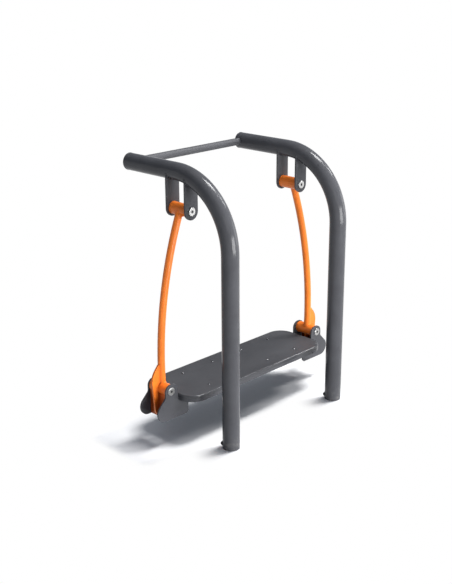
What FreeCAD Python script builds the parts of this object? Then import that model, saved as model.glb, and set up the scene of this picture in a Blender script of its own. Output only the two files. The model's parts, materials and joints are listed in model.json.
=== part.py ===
import FreeCAD, Part
import os
import re
import Sketcher
from FreeCAD import Placement, Rotation, Vector

# Outdoor surfer exercise machine: two bent posts joined by a handle bar, and a standing board that hangs
# between two pairs of lugs on two bowed arms and swings sideways.
# Millimetres, +Z up. X runs along the board from the left post to the right post, and Y from the posts
# towards the handle. The origin lies on the ground, midway between the two post feet.

# Driving dimensions: every name has two words or more
DRIVING = {
    # Posts, arms and handle
    "post_diameter": 88.9,
    "post_wall": 3.6,
    "post_spacing": 812,
    "arm_height": 1370,
    "bend_radius": 360,
    "arm_reach": 716,
    "dome_rise": 17,
    "dome_wall": 4,
    "handle_diameter": 40,
    "handle_wall": 3,
    "handle_inset": 22,
    # Domed screws that clamp the post feet to the stubs in the ground
    "foot_screw_height": 25,
    "foot_screw_turn": 135,
    "foot_screw_diameter": 12,
    "foot_screw_play": 0.25,
    "foot_screw_reach": 3,
    "foot_head_diameter": 19,
    "foot_head_height": 7,
    "saddle_diameter": 25,
    "saddle_thickness": 3,
    # Plates that hold the pivots
    "swing_plane": 332,
    "plate_thickness": 8,
    "side_gap": 2,
    "lug_width": 86,
    "hanger_drop": 186,
    "lug_top_drop": 22,
    # Swing arms and their barrels
    "lower_pivot_spacing": 1142,
    "lower_pivot_height": 282,
    "tube_diameter": 38,
    "tube_wall": 3.5,
    "arm_bow": 51,
    "arm_top_offset": 12,
    "arm_foot_inset": 5,
    "barrel_length": 120,
    "barrel_wall": 6.5,
    "barrel_shoulder": 3,
    # Fin that braces the foot of an arm and meets the stop
    "fin_thickness": 10,
    "fin_top": 130,
    "fin_crest": 3,
    "fin_width": 69.5,
    "fin_shoulder": 74,
    "fin_shoulder_round": 95,
    "fin_depth": 146,
    "fin_toe": 47,
    "fin_toe_round": 40,
    "fin_heel": 20,
    "fin_heel_round": 10,
    # Plate slotted over the fin, under the lower barrel
    "cross_plate_offset": 24,
    "cross_plate_thickness": 8,
    "cross_plate_width": 116,
    "cross_plate_depth": 150,
    # Bearings and axles
    "bearing_bore": 20,
    "bearing_diameter": 52,
    "bearing_width": 15,
    "bearing_recess": 2,
    "ball_diameter": 9.5,
    "ball_seat_gap": 0.05,
    "race_gap": 6.4,
    "seal_thickness": 1.2,
    "press_gap": 0.03,
    "running_gap": 0.3,
    "spacer_wall": 3,
    "open_pivot_play": 4.4,
    # Cap screws on the axle ends
    "cap_diameter": 42,
    "cap_height": 6,
    "cap_edge": 2,
    "cap_shank_diameter": 8,
    "cap_shank_length": 11,
    "cap_socket_size": 14,
    "cap_socket_depth": 4,
    "thread_gap": 0.1,
    # Board: deck panel on a folded tray
    "deck_drop": 27,
    "deck_width": 344,
    "deck_corner": 90,
    "deck_end_gap": 2,
    "panel_thickness": 18,
    "panel_edge": 8,
    "tray_height": 16,
    "tray_wall": 3,
    "tray_edge": 4,
    "rail_width": 40,
    "rail_height": 20,
    "rail_wall": 2.5,
    "rail_spacing": 80,
    # Screws of the deck
    "screw_pitch": 223,
    "screw_row_spacing": 203.5,
    "screw_diameter": 8,
    "screw_play": 0.3,
    "screw_head_diameter": 14,
    "screw_head_height": 3.5,
    "screw_socket_size": 5,
    "screw_socket_depth": 2,
    "screw_grip_end": 4,
    "screw_nut_size": 13,
    "screw_nut_height": 6.5,
    # Brackets under the board's ends
    "bracket_boss": 71,
    "bracket_shoulder": 11.5,
    "bracket_depth": 155,
    "bracket_inboard": 118,
    "bracket_outboard": 90,
    "bracket_corner": 50,
    "bracket_flare_angle": 45,
    "bracket_flare_round": 14,
    "bracket_heel_cut": 12,
    # Web and stop buffer between two brackets
    "web_inset": 66,
    "web_thickness": 8,
    "web_foot_gap": 18,
    "buffer_diameter": 30,
    "buffer_drop": 100,
    "buffer_play": 19,
    "buffer_edge": 2,
    "buffer_screw_diameter": 8,
    "buffer_screw_bite": 15,
    "buffer_head_size": 13,
    "buffer_head_height": 5.3,
}

SIDES = {"left": -1, "right": 1}
BALLS_PER_BEARING = 7
SCREW_COLUMNS = (-1.5, -0.5, 0.5, 1.5)
ALIAS = re.compile(r"\b[a-z]+(?:_[a-z]+)+\b")

# Places that follow from the driving dimensions
HALF_SPACING = "(post_spacing / 2)"
UPPER_HEIGHT = "(arm_height - hanger_drop)"
HALF_LOWER = "(lower_pivot_spacing / 2)"
PIVOTS = {"upper": (HALF_SPACING, UPPER_HEIGHT), "lower": (HALF_LOWER, "lower_pivot_height")}
CLEVIS_GAP = "(barrel_length + 2 * side_gap)"
CLEVIS_HALF = f"({CLEVIS_GAP} / 2 + plate_thickness)"
PLATE_OFFSET = f"({CLEVIS_GAP} / 2 + plate_thickness / 2)"
BARREL_DIAMETER = "(bearing_diameter + 2 * barrel_wall)"
BEARING_OFFSET = "(barrel_length / 2 - bearing_recess - bearing_width / 2)"
SHOULDER_HALF = "(barrel_length / 2 - bearing_recess - bearing_width)"
BALL_RING = "((bearing_bore + bearing_diameter) / 4)"
INNER_LAND = f"({BALL_RING} - race_gap / 2)"
OUTER_LAND = f"({BALL_RING} + race_gap / 2)"
AXLE_RADIUS = "(bearing_bore / 2 - press_gap)"
RING_LENGTH = "(side_gap + bearing_recess)"
DECK_TOP = "(lower_pivot_height - deck_drop)"
BRACKET_INNER = "(bracket_boss / 2 + bracket_shoulder)"
DECK_LENGTH = f"(lower_pivot_spacing - 2 * ({BRACKET_INNER} + deck_end_gap))"
TRAY_TOP = f"({DECK_TOP} - panel_thickness)"
SHEET_DEPTH = "(deck_drop + panel_thickness + tray_wall)"
SHEET_UNDERSIDE = f"({TRAY_TOP} - tray_wall)"

# The bowed arm: an arc from beside the upper pivot to beside the lower one, arm_bow off its chord
ARM_TOP_X = f"({HALF_SPACING} + arm_top_offset)"
ARM_FOOT_X = f"({HALF_LOWER} - arm_foot_inset)"
ARM_ACROSS = f"({ARM_FOOT_X} - {ARM_TOP_X})"
ARM_FALL = f"({UPPER_HEIGHT} - lower_pivot_height)"
ARM_CHORD = f"sqrt({ARM_ACROSS} ^ 2 + {ARM_FALL} ^ 2)"
BOW_RADIUS = f"({ARM_CHORD} ^ 2 / (8 * arm_bow) + arm_bow / 2)"
BOW_SETBACK = f"({BOW_RADIUS} - arm_bow)"
BOW_CENTRE_X = f"(({ARM_FOOT_X} + {ARM_TOP_X}) / 2 - {BOW_SETBACK} * {ARM_FALL} / {ARM_CHORD})"
BOW_CENTRE_Z = f"(({UPPER_HEIGHT} + lower_pivot_height) / 2 - {BOW_SETBACK} * {ARM_ACROSS} / {ARM_CHORD})"
BOW_LEAN = f"atan({ARM_ACROSS} / {ARM_FALL})"

doc = FreeCAD.newDocument("surfer")
sheet = doc.addObject("Spreadsheet::Sheet", "Sizes")
for row, (alias, number) in enumerate(DRIVING.items(), start=1):
    sheet.set(f"A{row}", alias)
    sheet.set(f"B{row}", str(number))
    sheet.setAlias(f"B{row}", alias)
doc.recompute()

nodes = []


def formula(text):
    """A formula in driving dimensions, as an expression on the sheet."""
    return ALIAS.sub(lambda match: f"Sizes.{match.group(0)}", text)


def value(text):
    return float(sheet.evalExpression(formula(text)))


def node(part):
    """Keep a finished sub-part for writing."""
    nodes.append(part)
    return part


# Sketches held by formulas

def sketch_on(body, role):
    plane = next(feature for feature in body.Origin.OriginFeatures if feature.Role == role)
    sketch = body.newObject("Sketcher::SketchObject", f"{body.Name}_sketch")
    sketch.AttachmentSupport = [(plane, "")]
    sketch.MapMode = "FlatFace"
    return sketch


def hold(sketch, constraint, text):
    """Add a sketch dimension and tie it to a formula."""
    index = sketch.addConstraint(constraint)
    name = f"dimension_{index}"
    sketch.renameConstraint(index, name)
    sketch.setExpression(f"Constraints.{name}", formula(text))


def pin(sketch, axis, geometry, point, text):
    """Hold one coordinate of a sketch point, measured from the sketch's origin."""
    hold(sketch, Sketcher.Constraint(f"Distance{axis}", -1, 1, geometry, point, value(text)), text)


def add_run(sketch, start, step):
    """One straight run or arc from start; gives its index and which of its points come first and last."""
    first = Vector(value(start[0]), value(start[1]), 0)
    last = Vector(value(step[0]), value(step[1]), 0)
    if len(step) == 2:
        return sketch.addGeometry(Part.LineSegment(first, last)), 1, 2
    centre = Vector(value(step[2]), value(step[3]), 0)
    ends = (first, last) if step[4] == "left" else (last, first)
    circle = Part.Circle(centre, Vector(0, 0, 1), (first - centre).Length)
    angles = [circle.parameter(end) for end in ends]
    arc = sketch.addGeometry(Part.ArcOfCircle(circle, angles[0], angles[1]))
    chord = last - first
    if abs(chord.x) > abs(chord.y):
        pin(sketch, "Y", arc, 3, step[3])
    else:
        pin(sketch, "X", arc, 3, step[2])
    return (arc, 1, 2) if step[4] == "left" else (arc, 2, 1)


def draw(sketch, *steps, closed=True):
    """Runs through the steps: (x, y) ends a straight run, (x, y, centre x, centre y, turn) an arc.

    A closed outline runs back to its first step, which says how the last run is made.
    """
    path = list(steps) + [steps[0]] if closed else list(steps)
    runs = [add_run(sketch, start, step) for start, step in zip(path, path[1:])]
    for (index, first, _), start in zip(runs, path):
        pin(sketch, "X", index, first, start[0])
        pin(sketch, "Y", index, first, start[1])
    for before, after in zip(runs, runs[1:] + runs[:1] if closed else runs[1:]):
        sketch.addConstraint(Sketcher.Constraint("Coincident", before[0], before[2], after[0], after[1]))
    if not closed:
        index, _, last = runs[-1]
        pin(sketch, "X", index, last, path[-1][0])
        pin(sketch, "Y", index, last, path[-1][1])


def circle(sketch, x, y, diameter):
    centre = Vector(value(x), value(y), 0)
    index = sketch.addGeometry(Part.Circle(centre, Vector(0, 0, 1), value(diameter) / 2))
    pin(sketch, "X", index, 3, x)
    pin(sketch, "Y", index, 3, y)
    hold(sketch, Sketcher.Constraint("Diameter", index, value(diameter)), diameter)


# Solids

def new_body(name):
    return doc.addObject("PartDesign::Body", name)


def pad(body, sketch, length, symmetric=False):
    feature = body.newObject("PartDesign::Pad", f"{body.Name}_pad")
    feature.Profile = sketch
    feature.setExpression("Length", formula(length))
    feature.SideType = "Symmetric" if symmetric else "One side"
    return feature


def pocket_up(body, sketch, depth):
    """Cut upwards from a sketch on the body's bottom plane, and check that something was cut."""
    doc.recompute()
    before = body.Shape.Volume
    feature = body.newObject("PartDesign::Pocket", f"{body.Name}_pocket")
    feature.Profile = sketch
    feature.setExpression("Length", formula(depth))
    feature.Reversed = True
    doc.recompute()
    if body.Shape.Volume >= before:
        raise RuntimeError(f"a pocket of {body.Label} cuts nothing")
    return feature


def plate(name, thickness, outline, holes=()):
    """A flat plate in the XZ plane, half of its thickness to each side."""
    body = new_body(name)
    sketch = sketch_on(body, "XZ_Plane")
    draw(sketch, *outline)
    for hole in holes:
        circle(sketch, *hole)
    pad(body, sketch, thickness, symmetric=True)
    return body


def turned(name, *outline):
    """A solid turned about its own Y axis from a half section of (radius, along) places."""
    body = new_body(name)
    sketch = sketch_on(body, "XY_Plane")
    draw(sketch, *outline)
    feature = body.newObject("PartDesign::Revolution", f"{name}_turn")
    feature.Profile = sketch
    feature.ReferenceAxis = (sketch, ["V_Axis"])
    feature.Angle = 360
    return body


def tube(name, outer, inner, length):
    """A plain ring or tube about its own Y axis, centred on its length."""
    half = f"({length}) / 2"
    return turned(name, (inner, f"-{half}"), (outer, f"-{half}"), (outer, half), (inner, half))


def turned_bar(name, diameter, start, end):
    """A plain round bar along its own Y axis."""
    radius = f"({diameter}) / 2"
    return turned(name, ("0", start), (radius, start), (radius, end), ("0", end))


def round_uprights(body, radius, places):
    """Round the edges that cross a plate's thickness at the given outline corners."""
    doc.recompute()
    base = body.Tip
    corners = [(value(x), value(z)) for x, z in places]
    names = []
    for number, edge in enumerate(base.Shape.Edges, start=1):
        middle = edge.BoundBox
        across = middle.YLength > max(middle.XLength, middle.ZLength)
        spot = (middle.Center.x, middle.Center.z)
        if across and any(abs(spot[0] - x) + abs(spot[1] - z) < 0.01 for x, z in corners):
            names.append(f"Edge{number}")
    feature = body.newObject("PartDesign::Fillet", f"{body.Name}_round")
    feature.Base = (base, names)
    feature.setExpression("Radius", formula(radius))


def round_face(body, radius, highest):
    """Round the edges of a body's highest or lowest level face."""
    doc.recompute()
    base = body.Tip
    level = base.Shape.BoundBox.ZMax if highest else base.Shape.BoundBox.ZMin
    flat = [
        f"Face{number}" for number, face in enumerate(base.Shape.Faces, start=1)
        if face.BoundBox.ZLength < 0.01 and abs(face.BoundBox.ZMax - level) < 0.01
    ]
    feature = body.newObject("PartDesign::Fillet", f"{body.Name}_round")
    feature.Base = (base, flat)
    feature.setExpression("Radius", formula(radius))


def bar(name, diameter, length):
    """A plain round bar from its own origin along its own Z axis."""
    part = doc.addObject("Part::Cylinder", name)
    part.setExpression("Radius", formula(f"({diameter}) / 2"))
    part.setExpression("Height", formula(length))
    return part


def hexagon(name, size, length):
    """A six-sided bar of the given size across its flats, from its own origin along its own Z axis."""
    part = doc.addObject("Part::Prism", name)
    part.Polygon = 6
    part.setExpression("Circumradius", formula(f"({size}) / sqrt(3)"))
    part.setExpression("Height", formula(length))
    return part


def cut(name, base, *tools):
    part = doc.addObject("Part::Cut", name)
    part.Base = base
    part.Tool = tools[0] if len(tools) == 1 else joined(f"{name}_tools", *tools)
    return part


def joined(name, *pieces):
    part = doc.addObject("Part::MultiFuse", name)
    part.Shapes = list(pieces)
    return part


def group(name, members):
    """Identical separate pieces that share one node."""
    part = doc.addObject("Part::Compound", name)
    part.Links = list(members)
    return node(part)


def place(part, x="0", y="0", z="0", axis=Vector(0, 0, 1), angle=0):
    part.Placement = Placement(Vector(0, 0, 0), Rotation(axis, angle))
    for letter, text in zip("xyz", (x, y, z)):
        part.setExpression(f".Placement.Base.{letter}", formula(text))
    return part


def at_pivot(part, sign, level, along="0", reverse=False):
    """Put a part on a pivot's axis; a reversed part looks towards the posts."""
    across, height = PIVOTS[level]
    return place(part, f"{sign} * {across}", f"swing_plane + {along}", height, angle=180 if reverse else 0)


X_AXIS = Vector(1, 0, 0)
Y_AXIS = Vector(0, 1, 0)


# Posts, end domes and handle

def bent_bar(name, hollow):
    """The post's shape: up from the ground, round the bend and out along the arm."""
    body = new_body(name)
    section = sketch_on(body, "XY_Plane")
    circle(section, "0", "0", "post_diameter")
    if hollow:
        circle(section, "0", "0", "post_diameter - 2 * post_wall")
    path = sketch_on(body, "YZ_Plane")
    bend_start = "arm_height - bend_radius"
    draw(
        path,
        ("0", "0"),
        ("0", bend_start),
        ("bend_radius", "arm_height", "bend_radius", bend_start, "right"),
        ("arm_reach", "arm_height"),
        closed=False,
    )
    pipe = body.newObject("PartDesign::AdditivePipe", f"{name}_pipe")
    pipe.Profile = section
    pipe.Spine = (path, ["Edge1", "Edge2", "Edge3"])
    return body


def foot_place(part, sign):
    """Set a part that points along its own Y axis on a post's axis, turned to the foot screw's side."""
    place(part, f"{sign} * {HALF_SPACING}", "0", "foot_screw_height")
    part.setExpression(".Placement.Rotation.Angle", formula("(foot_screw_turn - 90) * 1 deg"))
    return part


def foot_hole(name, sign):
    hole = turned_bar(name, "foot_screw_diameter + 2 * foot_screw_play", "0", "post_diameter")
    return foot_place(hole, sign)


def arm_dome(name):
    """A dome pressed from sheet that closes the arm's end."""
    rim = "(post_diameter / 2)"
    ball = f"(({rim} ^ 2 + dome_rise ^ 2) / (2 * dome_rise))"
    centre = f"(dome_rise - {ball})"
    inner_rim = f"sqrt(({ball} - dome_wall) ^ 2 - {centre} ^ 2)"
    return turned(
        name,
        (inner_rim, "0", "0", centre, "right"),
        (rim, "0"),
        ("0", "dome_rise", "0", centre, "left"),
        ("0", "dome_rise - dome_wall"),
    )


def make_posts():
    """Both posts, and the solid bars of their outer shape that cope what is welded to them."""
    solid_bars = {}
    for side, sign in SIDES.items():
        across = f"{sign} * {HALF_SPACING}"
        solid_bars[side] = place(bent_bar(f"{side}_post_solid", hollow=False), across)
        hollow = place(bent_bar(f"{side}_post_tube", hollow=True), across)
        node(cut(f"{side}_post", hollow, foot_hole(f"{side}_foot_hole", sign)))
        node(place(arm_dome(f"{side}_arm_dome"), across, "arm_reach", "arm_height"))
    return solid_bars


def make_handle(solid_bars):
    body = new_body("handle_tube")
    section = sketch_on(body, "YZ_Plane")
    circle(section, "0", "0", "handle_diameter")
    circle(section, "0", "0", "handle_diameter - 2 * handle_wall")
    pad(body, section, "post_spacing", symmetric=True)
    place(body, "0", "arm_reach - handle_inset", "arm_height")
    node(cut("handle_bar", body, *solid_bars.values()))


# Domed screws that lock the posts to the stubs set in the ground

def foot_screw(name, sign):
    """A screw with a domed head that reaches a little way through the post's wall."""
    head = "(foot_head_diameter / 2)"
    shank = "(foot_screw_diameter / 2)"
    inner_end = "(post_diameter / 2 - post_wall - foot_screw_reach)"
    seat = "(post_diameter / 2 + saddle_thickness)"
    dome = f"(({head} ^ 2 + foot_head_height ^ 2) / (2 * foot_head_height))"
    part = turned(
        name,
        ("0", inner_end),
        (shank, inner_end),
        (shank, seat),
        (head, seat),
        ("0", f"{seat} + foot_head_height", "0", f"{seat} + foot_head_height - {dome}", "left"),
    )
    return foot_place(part, sign)


def saddle_washer(name, sign, solid_bar):
    """A washer hollowed to the post on one side and flat on the other."""
    outer_face = "post_diameter / 2 + saddle_thickness"
    blank = foot_place(turned_bar(f"{name}_blank", "saddle_diameter", "0", outer_face), sign)
    return cut(name, blank, solid_bar, foot_hole(f"{name}_hole", sign))


def make_foot_screws(solid_bars):
    group("foot_screws", [foot_screw(f"{side}_foot_screw", sign) for side, sign in SIDES.items()])
    group("foot_saddle_washers", [
        saddle_washer(f"{side}_foot_saddle", sign, solid_bars[side]) for side, sign in SIDES.items()
    ])


# Hanger lugs under the arms

def hanger_lug(name):
    half = "(lug_width / 2)"
    top = "hanger_drop - lug_top_drop"
    outline = (
        (f"-{half}", "0"),
        (half, "0", "0", "0", "left"),
        (half, top),
        (f"-{half}", top),
    )
    return plate(name, "plate_thickness", outline, [("0", "0", "bearing_bore")])


def make_lugs(solid_bars):
    for side, sign in SIDES.items():
        for end, way in (("front", -1), ("rear", 1)):
            name = f"{side}_{end}_hanger_lug"
            blank = at_pivot(hanger_lug(f"{name}_blank"), sign, "upper", f"{way} * {PLATE_OFFSET}")
            node(cut(name, blank, solid_bars[side]))


# Pivots: axles, cap screws and what turns on them

def axle(name, core=AXLE_RADIUS):
    """A round axle as long as the clevis is wide, tapped at both ends; core is its radius inside."""
    tap = "(cap_shank_diameter / 2 + thread_gap)"
    tap_end = f"({CLEVIS_HALF} - cap_shank_length - thread_gap)"
    seat_end = f"({CLEVIS_GAP} / 2 - {RING_LENGTH} + running_gap)"
    half = [("0", tap_end), (tap, tap_end), (tap, CLEVIS_HALF), (AXLE_RADIUS, CLEVIS_HALF)]
    if core != AXLE_RADIUS:
        half += [(AXLE_RADIUS, seat_end), (core, seat_end)]
    front = [(radius, f"-{along}") for radius, along in half]
    return turned(name, *front, *reversed(half))


def cap_screw(name, sign, level, way):
    """A wide flat-headed screw with a six-sided socket, on one end of an axle."""
    head = "(cap_diameter / 2)"
    shank = "(cap_shank_diameter / 2)"
    solid = turned(
        f"{name}_solid",
        ("0", "-cap_shank_length"),
        (shank, "-cap_shank_length"),
        (shank, "0"),
        (head, "0"),
        (head, "cap_height - cap_edge"),
        (f"{head} - cap_edge", "cap_height", f"{head} - cap_edge", "cap_height - cap_edge", "left"),
        ("0", "cap_height"),
    )
    at_pivot(solid, sign, level, f"{way} * {CLEVIS_HALF}", reverse=way < 0)
    socket = hexagon(f"{name}_socket", "cap_socket_size", "2 * cap_socket_depth")
    across, height = PIVOTS[level]
    floor = f"swing_plane + {way} * ({CLEVIS_HALF} + cap_height - cap_socket_depth)"
    place(socket, f"{sign} * {across}", floor, height, X_AXIS, -90 * way)
    return cut(name, solid, socket)


def make_cap_screws(level):
    group(f"{level}_cap_screws", [
        cap_screw(f"{level}_{side}_{end}_cap", sign, level, way)
        for side, sign in SIDES.items() for end, way in (("front", -1), ("rear", 1))
    ])


def inner_ring(name):
    half = "(bearing_width / 2)"
    bore = "(bearing_bore / 2)"
    reach = "sqrt((ball_diameter / 2 + running_gap) ^ 2 - (race_gap / 2) ^ 2)"
    return turned(
        name,
        (bore, f"-{half}"),
        (INNER_LAND, f"-{half}"),
        (INNER_LAND, f"-{reach}"),
        (INNER_LAND, reach, BALL_RING, "0", "right"),
        (INNER_LAND, half),
        (bore, half),
    )


def outer_ring(name):
    half = "(bearing_width / 2)"
    rim = "(bearing_diameter / 2)"
    reach = "sqrt((ball_diameter / 2 + ball_seat_gap) ^ 2 - (race_gap / 2) ^ 2)"
    return turned(
        name,
        (OUTER_LAND, f"-{half}"),
        (rim, f"-{half}"),
        (rim, half),
        (OUTER_LAND, half),
        (OUTER_LAND, reach),
        (OUTER_LAND, f"-{reach}", BALL_RING, "0", "right"),
    )


def ball(name, sign, level, along, turn):
    """One ball of a bearing, at an angle round the pivot's axis."""
    part = doc.addObject("Part::Sphere", name)
    part.setExpression("Radius", formula("ball_diameter / 2"))
    across, height = PIVOTS[level]
    place(
        part,
        f"{sign} * {across} + {BALL_RING} * cos({turn})",
        f"swing_plane + {along}",
        f"{height} + {BALL_RING} * sin({turn})",
    )
    return part


def make_bearings(side, sign):
    """Outer rings, balls and seals of an arm's four bearings."""
    rings, balls, seals = [], [], []
    for level in PIVOTS:
        for end, way in (("front", -1), ("rear", 1)):
            stem = f"{side}_{level}_{end}"
            middle = f"{way} * {BEARING_OFFSET}"
            rings.append(at_pivot(outer_ring(f"{stem}_outer_ring"), sign, level, middle))
            for number in range(BALLS_PER_BEARING):
                turn = 360 * number / BALLS_PER_BEARING
                balls.append(ball(f"{stem}_ball_{number}", sign, level, middle, turn))
            for face, face_name in ((-1, "near"), (1, "far")):
                lip = f"{INNER_LAND} + running_gap"
                seal = tube(f"{stem}_{face_name}_seal", OUTER_LAND, lip, "seal_thickness")
                offset = f"{middle} + {face} * (bearing_width - seal_thickness) / 2"
                seals.append(at_pivot(seal, sign, level, offset))
    group(f"{side}_arm_bearing_rings", rings)
    group(f"{side}_arm_bearing_balls", balls)
    group(f"{side}_arm_bearing_seals", seals)


def inner_rings(sign, level, stem):
    """The pair of inner rings on one axle."""
    return [
        at_pivot(inner_ring(f"{stem}_{end}_inner_ring"), sign, level, f"{way} * {BEARING_OFFSET}")
        for end, way in (("front", -1), ("rear", 1))
    ]


def spacer(name, sign, level):
    """The tube that keeps two inner rings apart."""
    part = tube(name, "bearing_bore / 2 + spacer_wall", "bearing_bore / 2", f"2 * {SHOULDER_HALF}")
    return at_pivot(part, sign, level)


def thrust_rings(sign, level, stem, gap="0"):
    """The two short rings between the bearings and the plates; gap keeps them off the bearing."""
    length = f"({RING_LENGTH} - {gap})"
    middle = f"({CLEVIS_GAP} / 2 - {length} / 2)"
    return [
        at_pivot(
            tube(f"{stem}_{end}_thrust_ring", "bearing_bore / 2 + spacer_wall", "bearing_bore / 2", length),
            sign, level, f"{way} * {middle}",
        )
        for end, way in (("front", -1), ("rear", 1))
    ]


def make_upper_pivots():
    rings, spacers, washers = [], [], []
    for side, sign in SIDES.items():
        node(at_pivot(axle(f"{side}_upper_axle"), sign, "upper"))
        rings += inner_rings(sign, "upper", f"{side}_upper")
        spacers.append(spacer(f"{side}_upper_spacer", sign, "upper"))
        washers += thrust_rings(sign, "upper", f"{side}_upper")
    group("upper_bearing_inner_rings", rings)
    group("upper_bearing_spacers", spacers)
    group("upper_thrust_rings", washers)
    make_cap_screws("upper")


def make_lower_pivots():
    """The right lower axle is waisted: that pivot is the one where the linkage is open."""
    waist = f"({AXLE_RADIUS} - open_pivot_play)"
    node(at_pivot(axle("left_lower_axle"), SIDES["left"], "lower"))
    node(at_pivot(axle("right_lower_axle", waist), SIDES["right"], "lower"))
    group("left_lower_inner_rings", inner_rings(SIDES["left"], "lower", "left_lower"))
    group("right_lower_inner_rings", inner_rings(SIDES["right"], "lower", "right_lower"))
    for side, sign in SIDES.items():
        node(spacer(f"{side}_lower_bearing_spacer", sign, "lower"))
    group("lower_thrust_rings", [
        *thrust_rings(SIDES["left"], "lower", "left_lower"),
        *thrust_rings(SIDES["right"], "lower", "right_lower", gap="running_gap"),
    ])
    make_cap_screws("lower")


# Swing arms

def bowed_bar(name, hollow):
    """The arm's bowed shape: a ring of tube turned part of the way round the bow's centre."""
    body = new_body(name)
    section = sketch_on(body, "XY_Plane")
    circle(section, BOW_RADIUS, "0", "tube_diameter")
    if hollow:
        circle(section, BOW_RADIUS, "0", "tube_diameter - 2 * tube_wall")
    feature = body.newObject("PartDesign::Revolution", f"{name}_bow")
    feature.Profile = section
    feature.ReferenceAxis = (section, ["V_Axis"])
    feature.Midplane = True
    feature.setExpression("Angle", formula(f"2 * asin({ARM_CHORD} / (2 * {BOW_RADIUS}))"))
    return body


def place_bow(part, sign):
    place(part, f"{sign} * {BOW_CENTRE_X}", "swing_plane", BOW_CENTRE_Z, Y_AXIS)
    turn = f"-{BOW_LEAN}" if sign > 0 else f"180 deg + {BOW_LEAN}"
    part.setExpression(".Placement.Rotation.Angle", formula(turn))
    return part


def barrel(name):
    """A bearing housing, bored at both ends for a bearing that stops at a shoulder."""
    half = "(barrel_length / 2)"
    outer = f"({BARREL_DIAMETER} / 2)"
    seat = "(bearing_diameter / 2 + press_gap)"
    inner = "(bearing_diameter / 2 - barrel_shoulder)"
    return turned(
        name,
        (seat, f"-{half}"),
        (outer, f"-{half}"),
        (outer, half),
        (seat, half),
        (seat, SHOULDER_HALF),
        (inner, SHOULDER_HALF),
        (inner, f"-{SHOULDER_HALF}"),
        (seat, f"-{SHOULDER_HALF}"),
    )


def barrel_solid(name, sign, level):
    """The barrel's outer shape, to cope what is welded to it."""
    across, height = PIVOTS[level]
    solid = bar(name, BARREL_DIAMETER, "barrel_length")
    return place(solid, f"{sign} * {across}", "swing_plane - barrel_length / 2", height, X_AXIS, -90)


def fin(name):
    """A flat plate outside the arm's foot, down past the barrel to a toe between the brackets."""
    root = "(tube_diameter / 2)"
    outline = (
        ("0", "fin_top"),
        (f"{root} + fin_crest", "fin_top"),
        ("fin_width", "fin_shoulder"),
        ("fin_toe", "-fin_depth"),
        ("-fin_heel", "-fin_depth"),
        ("-fin_heel", "-fin_heel"),
        ("0", "0"),
    )
    body = plate(name, "fin_thickness", outline)
    round_uprights(body, "fin_shoulder_round", [("fin_width", "fin_shoulder")])
    round_uprights(body, "fin_toe_round", [("fin_toe", "-fin_depth")])
    round_uprights(body, "fin_heel_round", [("-fin_heel", "-fin_depth")])
    return body


def cross_plate(name):
    """A plate square to the fin, outside the pivot, from the barrel down past the fin's foot."""
    inner = "(cross_plate_offset - cross_plate_thickness / 2)"
    outer = "(cross_plate_offset + cross_plate_thickness / 2)"
    outline = ((inner, "0"), (inner, "-cross_plate_depth"), (outer, "-cross_plate_depth"), (outer, "0"))
    return plate(name, "cross_plate_width", outline)


def make_arm(side, sign):
    housings = [barrel_solid(f"{side}_{level}_barrel_solid", sign, level) for level in PIVOTS]
    solid_tube = place_bow(bowed_bar(f"{side}_arm_solid", hollow=False), sign)
    hollow = place_bow(bowed_bar(f"{side}_arm_hollow", hollow=True), sign)
    node(cut(f"{side}_swing_tube", hollow, *housings))
    for level in PIVOTS:
        node(at_pivot(barrel(f"{side}_{level}_barrel"), sign, level))
    blank = at_pivot(fin(f"{side}_fin_blank"), sign, "lower", reverse=sign < 0)
    node(cut(f"{side}_stop_fin", blank, solid_tube, housings[1]))
    across = at_pivot(cross_plate(f"{side}_cross_blank"), sign, "lower", reverse=sign < 0)
    node(cut(f"{side}_cross_plate", across, blank, housings[1]))
    make_bearings(side, sign)


# Board

def rounded_rectangle(sketch, length, width, corner):
    """A rectangle about the sketch's origin with four round corners."""
    x, y = f"({length} / 2)", f"({width} / 2)"
    inner_x, inner_y = f"({x} - {corner})", f"({y} - {corner})"
    draw(
        sketch,
        (f"-{inner_x}", f"-{y}", f"-{inner_x}", f"-{inner_y}", "left"),
        (inner_x, f"-{y}"),
        (x, f"-{inner_y}", inner_x, f"-{inner_y}", "left"),
        (x, inner_y),
        (inner_x, y, inner_x, inner_y, "left"),
        (f"-{inner_x}", y),
        (f"-{x}", inner_y, f"-{inner_x}", inner_y, "left"),
        (f"-{x}", f"-{inner_y}"),
    )


def screw_places():
    """Formulas for the places of the deck screws, from the board's middle."""
    return [
        (f"{column} * screw_pitch", f"{row} * screw_row_spacing / 2")
        for column in SCREW_COLUMNS for row in (-1, 1)
    ]


def cut_screw_holes(body, depth):
    sketch = sketch_on(body, "XY_Plane")
    for x, y in screw_places():
        circle(sketch, x, y, "screw_diameter + 2 * screw_play")
    pocket_up(body, sketch, depth)


def make_deck_panel():
    body = new_body("deck_panel")
    sketch = sketch_on(body, "XY_Plane")
    rounded_rectangle(sketch, DECK_LENGTH, "deck_width", "deck_corner")
    pad(body, sketch, "panel_thickness")
    round_face(body, "panel_edge", highest=True)
    cut_screw_holes(body, "panel_thickness")
    node(place(body, "0", "swing_plane", TRAY_TOP))


def cut_bracket_slots(body):
    """Slots in the tray's ends for the four bracket plates."""
    sketch = sketch_on(body, "XY_Plane")
    half = "plate_thickness / 2"
    outer = f"({DECK_LENGTH} / 2 + tray_wall)"
    inner = f"({DECK_LENGTH} / 2 - deck_corner)"
    for sign in SIDES.values():
        for way in (-1, 1):
            low = f"{way} * {PLATE_OFFSET} - {half}"
            high = f"{way} * {PLATE_OFFSET} + {half}"
            near, far = (inner, outer) if sign > 0 else (f"-{outer}", f"-{inner}")
            draw(sketch, (near, low), (far, low), (far, high), (near, high))
    pocket_up(body, sketch, "tray_height - tray_wall")


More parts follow.
